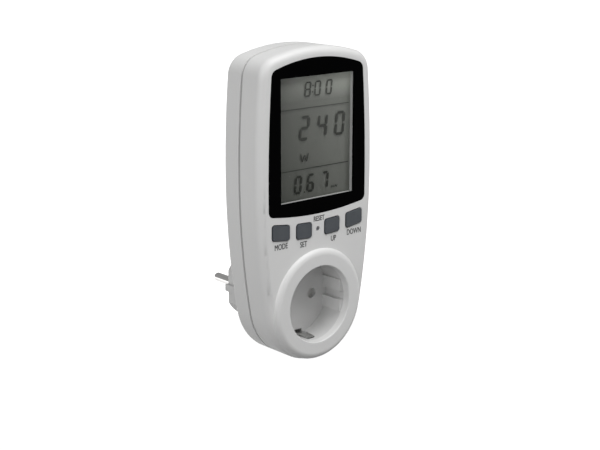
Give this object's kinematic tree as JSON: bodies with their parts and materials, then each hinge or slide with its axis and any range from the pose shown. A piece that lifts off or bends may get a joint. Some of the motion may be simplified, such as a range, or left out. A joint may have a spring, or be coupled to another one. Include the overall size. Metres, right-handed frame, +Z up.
{
  "type": "plug-in power meter",
  "caption": "Wall plug energy meter: a long rounded case with a display window, a key row, an earthed socket in front and a plug behind.",
  "frame": {"origin": "centre of the plug's engagement face, midway between the pins", "axes": "+Y along the pins into the wall, +Z up the meter's length, +X to the right seen from the front"},
  "size_m": [0.0754, 0.0743, 0.1594],
  "materials": {
    "housing": "light grey, fine satin texture",
    "plug_plastic": "light grey, satin",
    "inner_plastic": "natural white moulding",
    "window": "clear lens with a black printed border",
    "label": "printed silver foil",
    "screw_steel": "zinc plated",
    "spring_steel": "bright wire",
    "pin_plate": "nickel plated brass",
    "contact_brass": "stamped strip",
    "earth_plate": "tinned strip",
    "display_frame": "grey moulding",
    "lcd_glass": "liquid crystal cell",
    "lcd_back": "matt reflector film",
    "zebra": "striped elastomer",
    "board": "green solder mask",
    "black_part": "black moulding",
    "key": "dark blue grey, satin",
    "silicone": "grey silicone",
    "reset_plastic": "black",
    "capacitor_film": "yellow box",
    "varistor_coat": "blue epoxy",
    "fuse_glass": "glass tube with plated caps",
    "shunt_alloy": "resistance alloy",
    "can": "drawn can",
    "cell": "button cells",
    "resistor_coat": "cement coat"
  },
  "bodies": {
    "housing": {"backup_battery": "cell", "board_header": "black_part", "carrier_screws": "screw_steel", "chip_resistors": "black_part", "contact_carrier": "inner_plastic", "controller_blob": "black_part", "crystal": "can", "diodes": "black_part", "display_board": "board", "display_screws": "screw_steel", "dropper_resistor": "resistor_coat", "earth_post": "earth_plate", "front_shell": "housing", "fuse": "fuse_glass", "fuse_clips": "earth_plate", "housing_screws": "screw_steel", "insert_screws": "screw_steel", "key_dome_down": "silicone", "key_dome_mode": "silicone", "key_dome_set": "silicone", "key_dome_up": "silicone", "keypad_mat": "silicone", "lcd_frame": "display_frame", "lcd_glass": "lcd_glass", "lcd_polarizer": "lcd_glass", "lcd_reflector": "lcd_back", "line_contact": "contact_brass", "line_in_strap": "contact_brass", "line_out_strap": "contact_brass", "memory_chip": "black_part", "metering_chip": "black_part", "neutral_contact": "contact_brass", "neutral_link": "contact_brass", "plug_base": "plug_plastic", "plug_earth_strip": "earth_plate", "plug_pin_left": "pin_plate", "plug_pin_right": "pin_plate", "power_board": "board", "power_screws": "screw_steel", "rating_label": "label", "rear_shell": "housing", "reset_switch": "black_part", "shunt": "shunt_alloy", "shutter_spring": "spring_steel", "smoothing_capacitor": "black_part", "socket_earth_clip": "earth_plate", "socket_floor": "plug_plastic", "socket_insert": "plug_plastic", "suppression_capacitor": "capacitor_film", "varistor": "varistor_coat", "window_lens": "window", "zebra_strips": "zebra"},
    "shutter": {"shutter": "inner_plastic"},
    "reset_button": {"reset_button": "reset_plastic"},
    "key_mode": {"key_mode": "key"},
    "key_set": {"key_set": "key"},
    "key_up": {"key_up": "key"},
    "key_down": {"key_down": "key"}
  },
  "joints": [
    {"name": "key_mode_press", "type": "slide", "parent": "housing", "child": "key_mode", "axis": [0, 1, 0], "range_m": [0, 0.0008], "stiffness_N_per_m": 900, "springref_m": -0.0004, "deforming": ["key_dome_mode"]},
    {"name": "key_set_press", "type": "slide", "parent": "housing", "child": "key_set", "axis": [0, 1, 0], "range_m": [0, 0.0008], "stiffness_N_per_m": 900, "springref_m": -0.0004, "deforming": ["key_dome_set"]},
    {"name": "key_up_press", "type": "slide", "parent": "housing", "child": "key_up", "axis": [0, 1, 0], "range_m": [0, 0.0008], "stiffness_N_per_m": 900, "springref_m": -0.0004, "deforming": ["key_dome_up"]},
    {"name": "key_down_press", "type": "slide", "parent": "housing", "child": "key_down", "axis": [0, 1, 0], "range_m": [0, 0.0008], "stiffness_N_per_m": 900, "springref_m": -0.0004, "deforming": ["key_dome_down"]},
    {"name": "reset_press", "type": "slide", "parent": "housing", "child": "reset_button", "axis": [0, 1, 0], "range_m": [0, 0.00025], "stiffness_N_per_m": 4000, "springref_m": -0.0001},
    {"name": "shutter_turn", "type": "hinge", "parent": "housing", "child": "shutter", "pos_m": [0, -0.0343, 0], "axis": [0, 1, 0], "range_deg": [0, 36], "stiffness_Nm_per_rad": 0.01, "springref_deg": -17.19, "deforming": ["shutter_spring"]}
  ]
}
